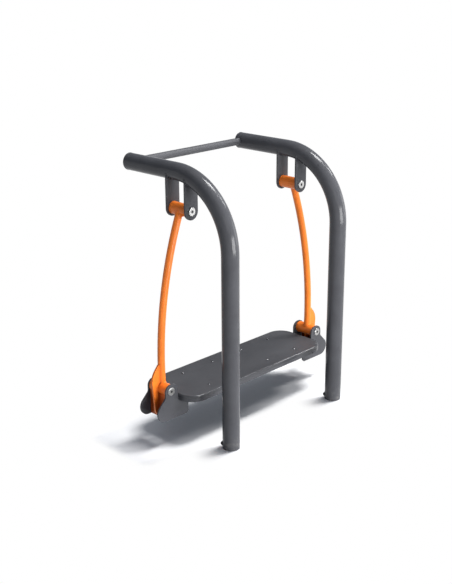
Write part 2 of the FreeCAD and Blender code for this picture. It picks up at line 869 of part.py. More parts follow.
def make_deck_tray():
    body = new_body("deck_tray")
    sketch = sketch_on(body, "XY_Plane")
    rounded_rectangle(sketch, DECK_LENGTH, "deck_width", "deck_corner")
    pad(body, sketch, "tray_height")
    round_face(body, "tray_edge / 2", highest=True)
    hollow = sketch_on(body, "XY_Plane")
    inner_length = f"({DECK_LENGTH} - 2 * tray_wall)"
    rounded_rectangle(hollow, inner_length, "(deck_width - 2 * tray_wall)", "(deck_corner - tray_wall)")
    pocket_up(body, hollow, "tray_height - tray_wall")
    cut_bracket_slots(body)
    cut_screw_holes(body, "tray_height")
    node(place(body, "0", "swing_plane", f"{TRAY_TOP} - tray_height"))


def deck_screw(name, x, y):
    """A screw with a low domed head and a six-sided socket, through panel and tray."""
    head = "(screw_head_diameter / 2)"
    shank = "(screw_diameter / 2)"
    dome = f"(({head} ^ 2 + screw_head_height ^ 2) / (2 * screw_head_height))"
    length = "(panel_thickness + tray_wall + screw_nut_height + screw_grip_end)"
    solid = turned(
        f"{name}_solid",
        ("0", f"-{length}"),
        (shank, f"-{length}"),
        (shank, "0"),
        (head, "0"),
        ("0", "screw_head_height", "0", f"screw_head_height - {dome}", "left"),
    )
    place(solid, x, f"swing_plane + {y}", DECK_TOP, X_AXIS, 90)
    socket = hexagon(f"{name}_socket", "screw_socket_size", "2 * screw_socket_depth")
    place(socket, x, f"swing_plane + {y}", f"{DECK_TOP} + screw_head_height - screw_socket_depth")
    return cut(name, solid, socket)


def deck_nut(name, x, y):
    solid = hexagon(f"{name}_solid", "screw_nut_size", "screw_nut_height")
    thread = bar(f"{name}_thread", "screw_diameter + 2 * thread_gap", "screw_nut_height")
    for part in (solid, thread):
        place(part, x, f"swing_plane + {y}", f"{SHEET_UNDERSIDE} - screw_nut_height")
    return cut(name, solid, thread)


def make_deck_screws():
    places = list(enumerate(screw_places(), start=1))
    group("deck_screws", [deck_screw(f"deck_screw_{number}", x, y) for number, (x, y) in places])
    group("deck_nuts", [deck_nut(f"deck_nut_{number}", x, y) for number, (x, y) in places])


def deck_rail(name, way):
    """A square tube under the deck from web to web."""
    body = new_body(name)
    sketch = sketch_on(body, "YZ_Plane")
    half = "(rail_width / 2)"
    draw(sketch, (f"-{half}", "-rail_height"), (half, "-rail_height"), (half, "0"), (f"-{half}", "0"))
    inner = f"({half} - rail_wall)"
    floor = "-(rail_height - rail_wall)"
    draw(sketch, (f"-{inner}", floor), (inner, floor), (inner, "-rail_wall"), (f"-{inner}", "-rail_wall"))
    pad(body, sketch, "lower_pivot_spacing - 2 * (web_inset + web_thickness)", symmetric=True)
    return place(body, "0", f"swing_plane + {way} * rail_spacing / 2", SHEET_UNDERSIDE)


def bracket(name):
    """A plate with a boss round the pivot, a shelf under the deck and a rounded outer corner."""
    boss = "(bracket_boss / 2)"
    corner_x = "(bracket_outboard - bracket_corner)"
    corner_z = "(bracket_corner - bracket_depth)"
    slope_run = "cos(bracket_flare_angle)"
    slope_rise = "sin(bracket_flare_angle)"
    tangent_x = f"({corner_x} + bracket_corner * {slope_run})"
    tangent_z = f"({corner_z} + bracket_corner * {slope_rise})"
    neck_z = f"({tangent_z} + ({tangent_x} - {boss}) * {slope_run} / {slope_rise})"
    shelf = f"-{SHEET_DEPTH}"
    outline = (
        (boss, neck_z),
        (boss, "0"),
        ("0", boss, "0", "0", "left"),
        ("-bracket_shoulder", boss),
        (f"-{BRACKET_INNER}", "0", "-bracket_shoulder", "0", "left"),
        (f"-{BRACKET_INNER}", shelf),
        ("-bracket_inboard", shelf),
        ("-bracket_inboard", "bracket_heel_cut - bracket_depth"),
        ("bracket_heel_cut - bracket_inboard", "-bracket_depth"),
        (corner_x, "-bracket_depth"),
        (tangent_x, tangent_z, corner_x, corner_z, "left"),
    )
    body = plate(name, "plate_thickness", outline, [("0", "0", "bearing_bore")])
    round_uprights(body, "bracket_flare_round", [(boss, neck_z)])
    return body


def web(name):
    """The cross plate between two brackets, bored for the buffer's screw."""
    body = new_body(name)
    sketch = sketch_on(body, "YZ_Plane")
    half = f"({CLEVIS_GAP} / 2)"
    foot = "web_foot_gap - bracket_depth"
    top = f"-{SHEET_DEPTH}"
    draw(sketch, (f"-{half}", foot), (half, foot), (half, top), (f"-{half}", top))
    circle(sketch, "0", "-buffer_drop", "buffer_screw_diameter + 2 * screw_play")
    pad(body, sketch, "web_thickness", symmetric=True)
    return body


def buffer(name):
    """A round rubber stop with a blind hole for its screw."""
    radius = "(buffer_diameter / 2)"
    length = "(web_inset - fin_heel - buffer_play)"
    bore = "(buffer_screw_diameter / 2 + thread_gap)"
    bite = "(buffer_screw_bite + thread_gap)"
    return turned(
        name,
        (bore, "0"),
        (radius, "0"),
        (radius, f"{length} - buffer_edge"),
        (f"{radius} - buffer_edge", length, f"{radius} - buffer_edge", f"{length} - buffer_edge", "left"),
        ("0", length),
        ("0", bite),
        (bore, bite),
    )


def buffer_screw(name, sign):
    length = "web_thickness + buffer_screw_bite + buffer_head_height / 2"
    shank = bar(f"{name}_shank", "buffer_screw_diameter", length)
    head = hexagon(f"{name}_head", "buffer_head_size", "buffer_head_height")
    height = "lower_pivot_height - buffer_drop"
    back = f"({HALF_LOWER} - web_inset - web_thickness)"
    place(shank, f"{sign} * ({back} - buffer_head_height / 2)", "swing_plane", height, Y_AXIS, 90 * sign)
    place(head, f"{sign} * ({back} - buffer_head_height)", "swing_plane", height, Y_AXIS, 90 * sign)
    return joined(name, shank, head)


def make_board_ends():
    buffers, screws = [], []
    for side, sign in SIDES.items():
        for end, way in (("front", -1), ("rear", 1)):
            part = bracket(f"{side}_{end}_bracket")
            node(at_pivot(part, sign, "lower", f"{way} * {PLATE_OFFSET}", reverse=sign < 0))
        inset = f"{sign} * ({HALF_LOWER} - web_inset - web_thickness / 2)"
        node(place(web(f"{side}_web"), inset, "swing_plane", "lower_pivot_height"))
        face = f"{sign} * ({HALF_LOWER} - web_inset)"
        height = "lower_pivot_height - buffer_drop"
        stop = buffer(f"{side}_stop_buffer")
        buffers.append(place(stop, face, "swing_plane", height, angle=-90 * sign))
        screws.append(buffer_screw(f"{side}_buffer_screw", sign))
    group("stop_buffers", buffers)
    group("buffer_screws", screws)


def make_board():
    make_deck_panel()
    make_deck_tray()
    make_deck_screws()
    node(deck_rail("front_deck_rail", -1))
    node(deck_rail("rear_deck_rail", 1))
    make_board_ends()


def check_document():
    doc.recompute()
    for item in doc.Objects:
        if "Invalid" in item.State or "Error" in item.State:
            raise RuntimeError(f"{item.Label} failed: {item.State}")
    for part in nodes:
        if part.Shape.isNull() or not part.Shape.isValid() or not part.Shape.Solids:
            raise RuntimeError(f"{part.Label} has no valid solid")


def write_parts():
    os.makedirs("parts", exist_ok=True)
    for part in nodes:
        part.Shape.exportStep(f"parts/{part.Label}.step")
        box = part.Shape.BoundBox
        print(f"{part.Label}: {len(part.Shape.Solids)} solids, {part.Shape.Volume / 1000:.1f} cm3,"
              f" z {box.ZMin:.1f} to {box.ZMax:.1f}")


post_bars = make_posts()
make_handle(post_bars)
make_foot_screws(post_bars)
make_lugs(post_bars)
make_upper_pivots()
for arm_side, arm_sign in SIDES.items():
    make_arm(arm_side, arm_sign)
make_board()
make_lower_pivots()
check_document()
write_parts()
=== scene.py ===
import json
import math

import bpy
from mathutils import Matrix, Vector


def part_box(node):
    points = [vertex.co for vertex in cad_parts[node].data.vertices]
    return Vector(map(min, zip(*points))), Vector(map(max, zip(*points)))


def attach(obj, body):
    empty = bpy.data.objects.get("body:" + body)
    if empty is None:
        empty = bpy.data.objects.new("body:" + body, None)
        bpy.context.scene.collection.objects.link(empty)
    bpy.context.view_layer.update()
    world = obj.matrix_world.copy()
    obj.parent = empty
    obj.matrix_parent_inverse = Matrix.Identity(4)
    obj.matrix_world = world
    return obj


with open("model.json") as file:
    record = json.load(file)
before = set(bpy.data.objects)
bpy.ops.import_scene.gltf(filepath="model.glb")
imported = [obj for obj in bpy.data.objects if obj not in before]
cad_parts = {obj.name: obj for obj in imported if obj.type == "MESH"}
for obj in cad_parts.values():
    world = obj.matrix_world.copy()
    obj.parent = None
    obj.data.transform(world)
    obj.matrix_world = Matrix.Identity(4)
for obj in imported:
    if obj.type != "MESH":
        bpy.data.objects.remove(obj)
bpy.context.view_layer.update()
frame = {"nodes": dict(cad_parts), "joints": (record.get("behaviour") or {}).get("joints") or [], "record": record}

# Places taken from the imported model, in metres
JOINTS = {joint["name"]: Vector(joint["pos_m"]) for joint in frame["joints"]}
UPPER_PIVOT = JOINTS["right_arm_swing"]
LOWER_PIVOT = Vector((-JOINTS["board_hinge"].x, JOINTS["board_hinge"].y, JOINTS["board_hinge"].z))
SWING_Y = UPPER_PIVOT.y
POST_LOW, POST_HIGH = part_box("right_post")
POST_X = (POST_LOW.x + POST_HIGH.x) / 2
POST_RADIUS = (POST_HIGH.x - POST_LOW.x) / 2
ARM_Z = POST_HIGH.z - POST_RADIUS
HANDLE_LOW, HANDLE_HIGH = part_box("handle_bar")
HANDLE_Y = (HANDLE_LOW.y + HANDLE_HIGH.y) / 2
HANDLE_RADIUS = (HANDLE_HIGH.y - HANDLE_LOW.y) / 2
BARREL_LOW, BARREL_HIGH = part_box("right_upper_barrel")
BARREL_RADIUS = (BARREL_HIGH.z - BARREL_LOW.z) / 2
FIN_LOW, FIN_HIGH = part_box("right_stop_fin")
TUBE_LOW, TUBE_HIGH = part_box("right_swing_tube")
TUBE_RADIUS = (TUBE_HIGH.y - TUBE_LOW.y) / 2
DECK_LOW, DECK_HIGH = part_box("deck_panel")

# Sizes that repeat the source's driving values, in metres
BEND_RADIUS = 0.360
ARM_TOP_OFFSET = 0.012
ARM_FOOT_INSET = 0.005
ARM_BOW = 0.051
DECK_CORNER = 0.090
DECK_EDGE = 0.008

SIDES = {"left": -1, "right": 1}


# Small helpers for shader nodes

# Where a Mix node has its inputs and its result, for colours and for directions
COLOUR_INPUTS = (6, 7)
COLOUR_RESULT = 2
DIRECTION_INPUTS = (4, 5)
DIRECTION_RESULT = 1

EDGE_SAMPLES = 4
RECESS_SAMPLES = 8


class Shader:
    """A new material with its principled shader, and short calls that add and join nodes."""

    def __init__(self, name):
        self.material = bpy.data.materials.new(name)
        self.material.use_nodes = True
        self.nodes = self.material.node_tree.nodes
        self.links = self.material.node_tree.links
        self.surface = self.nodes["Principled BSDF"]
        self.output = self.nodes["Material Output"]
        self.place = self.nodes.new("ShaderNodeTexCoord").outputs["Object"]

    def join(self, source, node, socket):
        self.links.new(source, node.inputs[socket])

    def set(self, **values):
        """Constant values on the principled shader, named by socket with underscores for spaces."""
        for name, value in values.items():
            self.surface.inputs[name.replace("_", " ")].default_value = value

    def stretched(self, scale):
        mapping = self.nodes.new("ShaderNodeMapping")
        mapping.inputs["Scale"].default_value = scale
        self.join(self.place, mapping, "Vector")
        return mapping.outputs["Vector"]

    def noise(self, scale, detail=2.0, rough=0.5, vector=None):
        node = self.nodes.new("ShaderNodeTexNoise")
        node.inputs["Scale"].default_value = scale
        node.inputs["Detail"].default_value = detail
        node.inputs["Roughness"].default_value = rough
        self.join(vector or self.place, node, "Vector")
        return node.outputs["Fac"]

    def rings(self, distance, scale):
        """Uneven rings that depend on one distance only."""
        node = self.nodes.new("ShaderNodeTexNoise")
        node.noise_dimensions = "1D"
        node.inputs["Scale"].default_value = scale
        self.join(distance, node, "W")
        return node.outputs["Fac"]

    def cells(self, scale):
        node = self.nodes.new("ShaderNodeTexVoronoi")
        node.inputs["Scale"].default_value = scale
        self.join(self.place, node, "Vector")
        return node.outputs["Distance"]

    def span(self, source, low, high, to_low=0.0, to_high=1.0):
        """Carries a range of values over to another one, smoothly and clamped."""
        node = self.nodes.new("ShaderNodeMapRange")
        node.interpolation_type = "SMOOTHSTEP"
        ends = {"From Min": low, "From Max": high, "To Min": to_low, "To Max": to_high}
        for socket, value in ends.items():
            node.inputs[socket].default_value = value
        self.join(source, node, "Value")
        return node.outputs["Result"]

    def math(self, operation, first, second=0.0):
        """One sum on node outputs or plain numbers; sums of one value leave the second out."""
        node = self.nodes.new("ShaderNodeMath")
        node.operation = operation
        for socket, value in enumerate((first, second)):
            if isinstance(value, (int, float)):
                node.inputs[socket].default_value = value
            else:
                self.join(value, node, socket)
        return node.outputs["Value"]

    def times(self, first, second):
        return self.math("MULTIPLY", first, second)

    def plus(self, first, second):
        return self.math("ADD", first, second)

    def minus(self, first, second):
        return self.math("SUBTRACT", first, second)

    def at_least(self, value, least):
        return self.math("MAXIMUM", value, least)

    def axes(self):
        node = self.nodes.new("ShaderNodeSeparateXYZ")
        self.join(self.place, node, "Vector")
        return node.outputs

    def length(self, first, second):
        return self.math("SQRT", self.plus(self.times(first, first), self.times(second, second)))

    def overhang(self, middle, half, mirror=False):
        """How far a place lies outside a level box, in X and in Y; the box has a middle and half sizes."""
        axes = self.axes()
        across = self.math("ABSOLUTE", axes["X"]) if mirror else axes["X"]
        sides = []
        for place, centre, reach in zip((across, axes["Y"]), middle, half):
            offset = self.minus(place, centre)
            beyond = self.at_least(self.minus(self.math("ABSOLUTE", offset), reach), 0.0)
            sides.append(self.times(self.math("SIGN", offset), beyond))
        return sides

    def blend(self, factor, first, second):
        """Mixes two colours; each is a node output or a plain colour."""
        node = self.nodes.new("ShaderNodeMix")
        node.data_type = "RGBA"
        self.join(factor, node, "Factor")
        for socket, colour in zip(COLOUR_INPUTS, (first, second)):
            if isinstance(colour, tuple):
                node.inputs[socket].default_value = (*colour, 1.0)
            else:
                self.join(colour, node, socket)
        return node.outputs[COLOUR_RESULT]

    def blend_directions(self, factor, first, second):
        node = self.nodes.new("ShaderNodeMix")
        node.data_type = "VECTOR"
        self.join(factor, node, "Factor")
        for socket, direction in zip(DIRECTION_INPUTS, (first, second)):
            self.join(direction, node, socket)
        return node.outputs[DIRECTION_RESULT]

    def bump(self, height, strength, distance, normal=None):
        node = self.nodes.new("ShaderNodeBump")
        node.inputs["Strength"].default_value = strength
        node.inputs["Distance"].default_value = distance
        self.join(height, node, "Height")
        if normal is not None:
            self.join(normal, node, "Normal")
        return node.outputs["Normal"]

    def softened_edges(self, radius):
        node = self.nodes.new("ShaderNodeBevel")
        node.samples = EDGE_SAMPLES
        node.inputs["Radius"].default_value = radius
        return node.outputs["Normal"]

    def recess_shade_mask(self, distance, closed, clear):
        """1 where other surfaces close a place in, 0 where it lies open: the mask for painted shade."""
        node = self.nodes.new("ShaderNodeAmbientOcclusion")
        node.samples = RECESS_SAMPLES
        node.inputs["Distance"].default_value = distance
        return self.span(node.outputs["AO"], closed, clear, to_low=1.0, to_high=0.0)

    def direction(self, *sides):
        """A surface direction from its X, Y and Z parts, which turns with the piece."""
        combined = self.nodes.new("ShaderNodeCombineXYZ")
        for axis, side in zip("XYZ", sides):
            self.join(side, combined, axis)
        turned = self.nodes.new("ShaderNodeVectorTransform")
        turned.vector_type = "NORMAL"
        turned.convert_from = "OBJECT"
        turned.convert_to = "WORLD"
        self.join(combined.outputs["Vector"], turned, "Vector")
        return turned.outputs["Vector"]

    def bent_tube_normal(self):
        """The true direction of a post's skin: an upright and a level arm, joined by a round bend."""
        axes = self.axes()
        across = self.minus(axes["X"], self.times(self.math("SIGN", axes["X"]), POST_X))
        along = self.math("MINIMUM", self.minus(axes["Y"], BEND_RADIUS), 0.0)
        above = self.at_least(self.minus(axes["Z"], ARM_Z - BEND_RADIUS), 0.0)
        reach = self.length(along, above)
        share = self.math("DIVIDE", self.minus(reach, BEND_RADIUS), reach)
        return self.direction(across, self.times(along, share), self.times(above, share))

    def rounded_rim_normal(self, low, high, corner, edge):
        """The true direction of a slab's top and of the round edge along its round-cornered outline."""
        middle = (low + high) / 2
        half = (high - low) / 2
        across, along = self.overhang(middle.xy, (half.x - corner, half.y - corner))
        reach = self.length(across, along)
        past = self.at_least(self.minus(reach, corner - edge), 0.0)
        share = self.math("DIVIDE", past, reach)
        above = self.at_least(self.minus(self.axes()["Z"], high.z - edge), 0.0)
        return self.direction(self.times(across, share), self.times(along, share), above)

    def finish(self, colour=None, roughness=None, normal=None):
        for source, socket in ((colour, "Base Color"), (roughness, "Roughness"), (normal, "Normal")):
            if source is not None:
                self.join(source, self.surface, socket)
        return self.material


def tinted(colour, factor):
    return tuple(min(1.0, channel * factor) for channel in colour)


# Colours

DARK = (0.066, 0.067, 0.0735)
DECK_GREY = tinted(DARK, 0.86)
ORANGE = (0.85, 0.20, 0.024)
RECESS_SHADE = (0.24, 0.036, 0.004)
# painted shade: the deep red that closed-in orange places darken towards
DUST = (0.30, 0.28, 0.25)
SOCKET_SHADE = (0.10, 0.10, 0.105)

# Where the materials change, in metres: the softened edges of painted pieces, how far dust reaches up a post,
# the band below the deck's top where its pebbles end, the start of its round rim and a cap's socket
PAINT_EDGE = 0.0012
DUST_TOP = 0.10
PEBBLES_OUT = DECK_HIGH.z - 0.0012
PEBBLES_FULL = DECK_HIGH.z - 0.0002
RIM_START = DECK_HIGH.z - DECK_EDGE
RIM_BLEND = 0.0002
SOCKET_REACH = (0.0066, 0.0076)

# Painted shade in closed-in places: the distance at which other surfaces count, in metres, then the openness
# up to which a place is fully shaded and the openness from which it is left plain
THIN_RECESS_SHADE = (0.09, 0.22, 0.62)
THICK_RECESS_SHADE = (0.16, 0.62, 1.00)


# Materials

def powder_coat(name, colour, roughness, peel, shine, edge=0.0, bent_tube=False, recess_shade=None, dust_top=0.0):
    """Baked powder paint: peel, specks, scratches, uneven gloss, painted shade in recesses, dust at the foot."""
    shader = Shader(name)
    cloud = shader.noise(scale=7.0, detail=4.0, rough=0.6)
    speck = shader.noise(scale=2600.0, detail=1.0)
    shown = shader.blend(shader.span(cloud, 0.3, 0.7), tinted(colour, 0.90), tinted(colour, 1.08))
    shown = shader.blend(shader.span(speck, 0.60, 0.78, to_high=0.35), shown, tinted(colour, 1.55))
    lines = shader.noise(scale=900.0, vector=shader.stretched((1.0, 1.0, 0.03)))
    scratch = shader.span(lines, 0.70, 0.78, to_high=0.25)
    worn = shader.span(shader.noise(scale=14.0, detail=3.0, rough=0.7), 0.58, 0.75)
    shown = shader.blend(shader.times(scratch, worn), shown, tinted(colour, 1.9))
    if recess_shade:
        # painted shade: closed-in places darken towards a deep red, standing in for the shade there
        shown = shader.blend(shader.recess_shade_mask(*recess_shade), shown, RECESS_SHADE)
    rubbed = shader.span(cloud, 0.25, 0.75, roughness - 0.05, roughness + 0.06)
    if dust_top:
        height = shader.span(shader.axes()["Z"], 0.0, dust_top, to_low=1.0, to_high=0.0)
        patches = shader.span(shader.noise(scale=38.0, detail=5.0, rough=0.65), 0.40, 0.80, to_high=0.30)
        settled = shader.times(height, patches)
        shown = shader.blend(settled, shown, DUST)
        rubbed = shader.plus(rubbed, shader.times(settled, 0.5))
    uneven = shader.plus(rubbed, shader.span(speck, 0.3, 0.8, to_low=-0.03, to_high=0.05))
    rounded = None
    if bent_tube:
        rounded = shader.bent_tube_normal()
    elif edge:
        rounded = shader.softened_edges(edge)
    waves = shader.bump(shader.noise(scale=330.0), peel, 0.0006, rounded)
    grain = shader.bump(speck, peel * 0.5, 0.00015, waves)
    shader.set(Specular_IOR_Level=shine)
    return shader.finish(shown, uneven, grain)


def deck_coat(name, colour):
    """Fine pebbled moulding, dulled and scuffed lengthwise where people stand, smoother on its rim."""
    shader = Shader(name)
    height = shader.axes()["Z"]
    pebble = shader.cells(scale=620.0)
    cloud = shader.noise(scale=9.0, detail=4.0, rough=0.6)
    moulded = shader.blend(shader.span(cloud, 0.3, 0.7), tinted(colour, 0.92), tinted(colour, 1.08))
    pitted = shader.blend(shader.span(pebble, 0.25, 0.75, to_high=0.5), moulded, tinted(colour, 0.72))
    streak = shader.noise(scale=60.0, detail=4.0, rough=0.7, vector=shader.stretched((0.12, 1.0, 1.0)))
    trodden = shader.span(shader.noise(scale=5.0), 0.42, 0.62)
    scuff = shader.times(shader.span(streak, 0.56, 0.80, to_high=0.55), trodden)
    shown = shader.blend(scuff, pitted, tinted(colour, 1.7))
    dull = shader.plus(shader.span(cloud, 0.25, 0.75, to_low=0.50, to_high=0.60), shader.times(scuff, 0.15))
    top = shader.span(height, PEBBLES_OUT, PEBBLES_FULL)
    gloss = shader.times(dull, shader.span(top, 0.0, 1.0, to_low=0.28, to_high=1.0))
    rim = shader.span(height, RIM_START, RIM_START + RIM_BLEND)
    rim_normal = shader.rounded_rim_normal(DECK_LOW, DECK_HIGH, DECK_CORNER, DECK_EDGE)
    rounded = shader.blend_directions(rim, shader.softened_edges(0.0025), rim_normal)
    grain = shader.bump(shader.times(pebble, top), 0.25, 0.0004, rounded)
    shader.set(Specular_IOR_Level=0.32)
    return shader.finish(shown, gloss, grain)


def turned_steel(name, pivot):
    """Stainless caps with the rings a lathe leaves round each pivot, and a shaded socket."""
    shader = Shader(name)
    axes = shader.axes()
    across = shader.minus(shader.math("ABSOLUTE", axes["X"]), pivot.x)
    distance = shader.length(across, shader.minus(axes["Z"], pivot.z))
    turned = shader.rings(distance, scale=2400.0)
    smear = shader.noise(scale=160.0, detail=4.0, rough=0.6)
    bright = shader.blend(shader.span(smear, 0.35, 0.7), (0.46, 0.46, 0.46), (0.56, 0.56, 0.55))
    shown = shader.blend(shader.span(distance, *SOCKET_REACH), SOCKET_SHADE, bright)
    turning_marks = shader.span(turned, 0.3, 0.7, to_low=0.26, to_high=0.34)
    gloss = shader.plus(turning_marks, shader.span(smear, 0.5, 0.8, to_high=0.06))
    shader.set(Metallic=1.0)
    return shader.finish(shown, gloss, shader.bump(turned, 0.15, 0.0002, shader.softened_edges(0.0008)))


def plain_steel(name, dark, light, roughness):
    """Ground, plated or blackened steel with drawn grain and blotches."""
    shader = Shader(name)
    grain = shader.noise(scale=1500.0, vector=shader.stretched((1.0, 0.04, 1.0)))
    blotch = shader.noise(scale=120.0, detail=4.0, rough=0.65)
    shown = shader.blend(shader.span(blotch, 0.32, 0.72), dark, light)
    drawn = shader.span(grain, 0.3, 0.7, roughness - 0.06, roughness + 0.08)
    gloss = shader.plus(drawn, shader.span(blotch, 0.5, 0.8, to_high=0.08))
    shader.set(Metallic=1.0)
    return shader.finish(shown, gloss, shader.bump(grain, 0.12, 0.0002, shader.softened_edges(0.0006)))


def rubber(name, colour):
    """Moulded rubber, matt, with a fine pitted skin and grey bloom."""
    shader = Shader(name)
    bloom = shader.noise(scale=90.0, detail=4.0, rough=0.6)
    pits = shader.noise(scale=1400.0)
    shown = shader.blend(shader.span(bloom, 0.4, 0.75, to_high=0.6), colour, tinted(colour, 2.2))
    dull = shader.span(pits, 0.3, 0.7, to_low=0.68, to_high=0.84)
    shader.set(Specular_IOR_Level=0.35)
    return shader.finish(shown, dull, shader.bump(pits, 0.3, 0.0003))


MATERIALS = {
    "dark_coat": powder_coat("dark_powder_coat", DARK, roughness=0.19, peel=0.006, shine=0.16,
                             edge=PAINT_EDGE, dust_top=DUST_TOP),
    "orange_coat": powder_coat("orange_powder_coat", ORANGE, roughness=0.30, peel=0.04, shine=0.28,
                               edge=PAINT_EDGE, recess_shade=THIN_RECESS_SHADE),
    "deck_panel": deck_coat("pebbled_deck", DECK_GREY),
    "dark_screw": plain_steel("blackened_steel", (0.035, 0.035, 0.038), (0.06, 0.06, 0.065), 0.40),
    "axle_steel": plain_steel("ground_steel", (0.48, 0.48, 0.48), (0.60, 0.60, 0.60), 0.28),
    "bearing_steel": plain_steel("bearing_steel", (0.60, 0.60, 0.61), (0.72, 0.72, 0.73), 0.16),
    "zinc_steel": plain_steel("zinc_plated_steel", (0.50, 0.51, 0.53), (0.66, 0.66, 0.66), 0.36),
    "seal_rubber": rubber("seal_rubber", (0.022, 0.022, 0.022)),
    "buffer_rubber": rubber("buffer_rubber", (0.020, 0.020, 0.021)),
    "stainless": plain_steel("stainless_steel", (0.60, 0.60, 0.60), (0.74, 0.74, 0.73), 0.26),
}
POST_COAT = powder_coat("dark_post_coat", DARK, roughness=0.15, peel=0.004, shine=0.16,
                        bent_tube=True, dust_top=DUST_TOP)
# the cross plates take stronger painted shade in the closed-in space under the barrel
PLATE_COAT = powder_coat("orange_coat_with_painted_shade", ORANGE, roughness=0.40, peel=0.04, shine=0.20,
                         edge=PAINT_EDGE, recess_shade=THICK_RECESS_SHADE)
HANDLE_COAT = powder_coat("satin_handle_coat", DARK, roughness=0.55, peel=0.03, shine=0.22)

# Nodes that look different from the rest of their slot
OWN_MATERIALS = {
    "left_post": POST_COAT,
    "right_post": POST_COAT,
    "left_cross_plate": PLATE_COAT,
    "right_cross_plate": PLATE_COAT,
    "handle_bar": HANDLE_COAT,
    "deck_screws": plain_steel("dark_stainless_steel", (0.11, 0.11, 0.115), (0.16, 0.16, 0.165), 0.11),
    "upper_cap_screws": turned_steel("turned_upper_caps", UPPER_PIVOT),
    "lower_cap_screws": turned_steel("turned_lower_caps", LOWER_PIVOT),
}


def dress_solids():
    """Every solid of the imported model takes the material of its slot, or one of its own."""
    slots = {part["node"]: part["material_slot"] for part in frame["record"]["subparts"]}
    for name, part in frame["nodes"].items():
        part.data.materials.clear()
        part.data.materials.append(OWN_MATERIALS.get(name) or MATERIALS[slots[name]])


# Weld beads along the seams of welded pieces: sizes in metres

BEAD_RADIUS = 0.0028
FIN_BEAD_RADIUS = 0.0022
DOME_BEAD_RADIUS = 0.0016
HANDLE_BEAD_RADIUS = 0.0012
BEAD_PITCH = 0.0035
BEAD_STEP = 0.0012
DOME_SINK = 0.35 * BEAD_RADIUS
FIN_TOP_GAP = 0.002
BRACKET_SEAM_START = 0.004
BRACKET_SEAM_LENGTH = 0.055

# Shares: a bead's ripple, its first ring and how much each ring grows from there, and the part of the
# swing tube in which the seam with a barrel is looked for
BEAD_RIPPLE = 0.10
FIRST_RING = 0.35
RING_GROWTH = 0.25
BARREL_SEARCH = 0.08

# Counts, a length that is taken as none, and a direction that no seam runs along
BEAD_SIDES = 10
FEWEST_RINGS = 8
ROUND_STEPS = 48
DOME_STEPS = 60
LUG_STEPS = 24
FIN_STEPS = 400
BRACKET_STEPS = 8
HALVINGS = 30
NO_LENGTH = 1e-9
ASKEW = Vector((0.31, 0.52, 0.79))


def even_points(path, closed):
    """The same line as path, with points about BEAD_STEP apart."""
    corners = path + path[:1] if closed else path
    lengths = [0.0]
    for first, second in zip(corners, corners[1:]):
        lengths.append(lengths[-1] + (second - first).length)
    count = max(FEWEST_RINGS, round(lengths[-1] / BEAD_STEP))
    points = []
    run = 0
    for index in range(count if closed else count + 1):
        target = lengths[-1] * index / count
        while run < len(lengths) - 2 and lengths[run + 1] < target:
            run += 1
        share = (target - lengths[run]) / max(lengths[run + 1] - lengths[run], NO_LENGTH)
        points.append(corners[run].lerp(corners[run + 1], share))
    return points


def bead_ring(points, index, closed, radius):
    """The ring of vertices round one point of a bead: rippled, and drawn in at an open bead's ends."""
    count = len(points)
    point = points[index]
    ahead = points[(index + 1) % count] if closed or index < count - 1 else point
    behind = points[index - 1] if closed or index else point
    along = (ahead - behind).normalized()
    side = along.cross(ASKEW).normalized()
    other = along.cross(side)
    ripple = 1.0 + BEAD_RIPPLE * abs(math.sin(math.pi * index * BEAD_STEP / BEAD_PITCH))
    ends = 1.0
    if not closed:
        ends = min(1.0, FIRST_RING + RING_GROWTH * min(index, count - 1 - index))
    ring = []
    for step in range(BEAD_SIDES):
        turn = 2 * math.pi * step / BEAD_SIDES
        ring.append(point + (side * math.cos(turn) + other * math.sin(turn)) * radius * ripple * ends)
    return ring


def bead_faces(count, closed):
    """Quads between neighbouring rings, and a cap on each end of an open bead."""
    faces = []
    for index in range(count if closed else count - 1):
        for step in range(BEAD_SIDES):
            corner = index * BEAD_SIDES + step
            beside = index * BEAD_SIDES + (step + 1) % BEAD_SIDES
            shift = BEAD_SIDES if index < count - 1 else -index * BEAD_SIDES
            faces.append((corner, beside, beside + shift, corner + shift))
    if not closed:
        faces.append(tuple(reversed(range(BEAD_SIDES))))
        faces.append(tuple(range((count - 1) * BEAD_SIDES, count * BEAD_SIDES)))
    return faces


def weld_bead(name, path, body, slot, closed=False, radius=BEAD_RADIUS, material=None):
    """A rippled bead of weld metal swept along a seam, painted like what it joins."""
    points = even_points(path, closed)
    vertices = []
    for index in range(len(points)):
        vertices.extend(bead_ring(points, index, closed, radius))
    mesh = bpy.data.meshes.new(name)
    mesh.from_pydata(vertices, [], bead_faces(len(points), closed))
    mesh.update()
    for face in mesh.polygons:
        face.use_smooth = True
    piece = bpy.data.objects.new(name, mesh)
    bpy.context.scene.collection.objects.link(piece)
    mesh.materials.append(material or MATERIALS[slot])
    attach(piece, body)


def under_arm(across, along):
    """Height of the arm tube's underside, at a distance across from its middle and a place along Y."""
    half = math.sqrt(POST_RADIUS ** 2 - across ** 2)
    if along >= BEND_RADIUS:
        return ARM_Z - half
    inner = BEND_RADIUS - half
    return ARM_Z - BEND_RADIUS + math.sqrt(inner ** 2 - (along - BEND_RADIUS) ** 2)


def lug_seam(side, lug):
    """Round the top of a hanger lug, where it meets the arm tube above it."""
    low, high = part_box(lug)
    middle = SIDES[side] * POST_X
    half = (high.x - low.x) / 2
    path = []
    for along, sign in ((low.y, 1), (high.y, -1)):
        for step in range(LUG_STEPS + 1):
            across = sign * half * (2 * step / LUG_STEPS - 1)
            path.append(Vector((middle + across, along, under_arm(across, along))))
    return path


def round_turns(steps):
    return [2 * math.pi * step / steps for step in range(steps)]


def handle_seam(side):
    """Round the end of the handle bar, where it meets the arm tube."""
    path = []
    for turn in round_turns(ROUND_STEPS):
        up = HANDLE_RADIUS * math.sin(turn)
        inward = POST_X - math.sqrt(POST_RADIUS ** 2 - up ** 2)
        path.append(Vector((SIDES[side] * inward, HANDLE_Y + HANDLE_RADIUS * math.cos(turn), ARM_Z + up)))
    return path


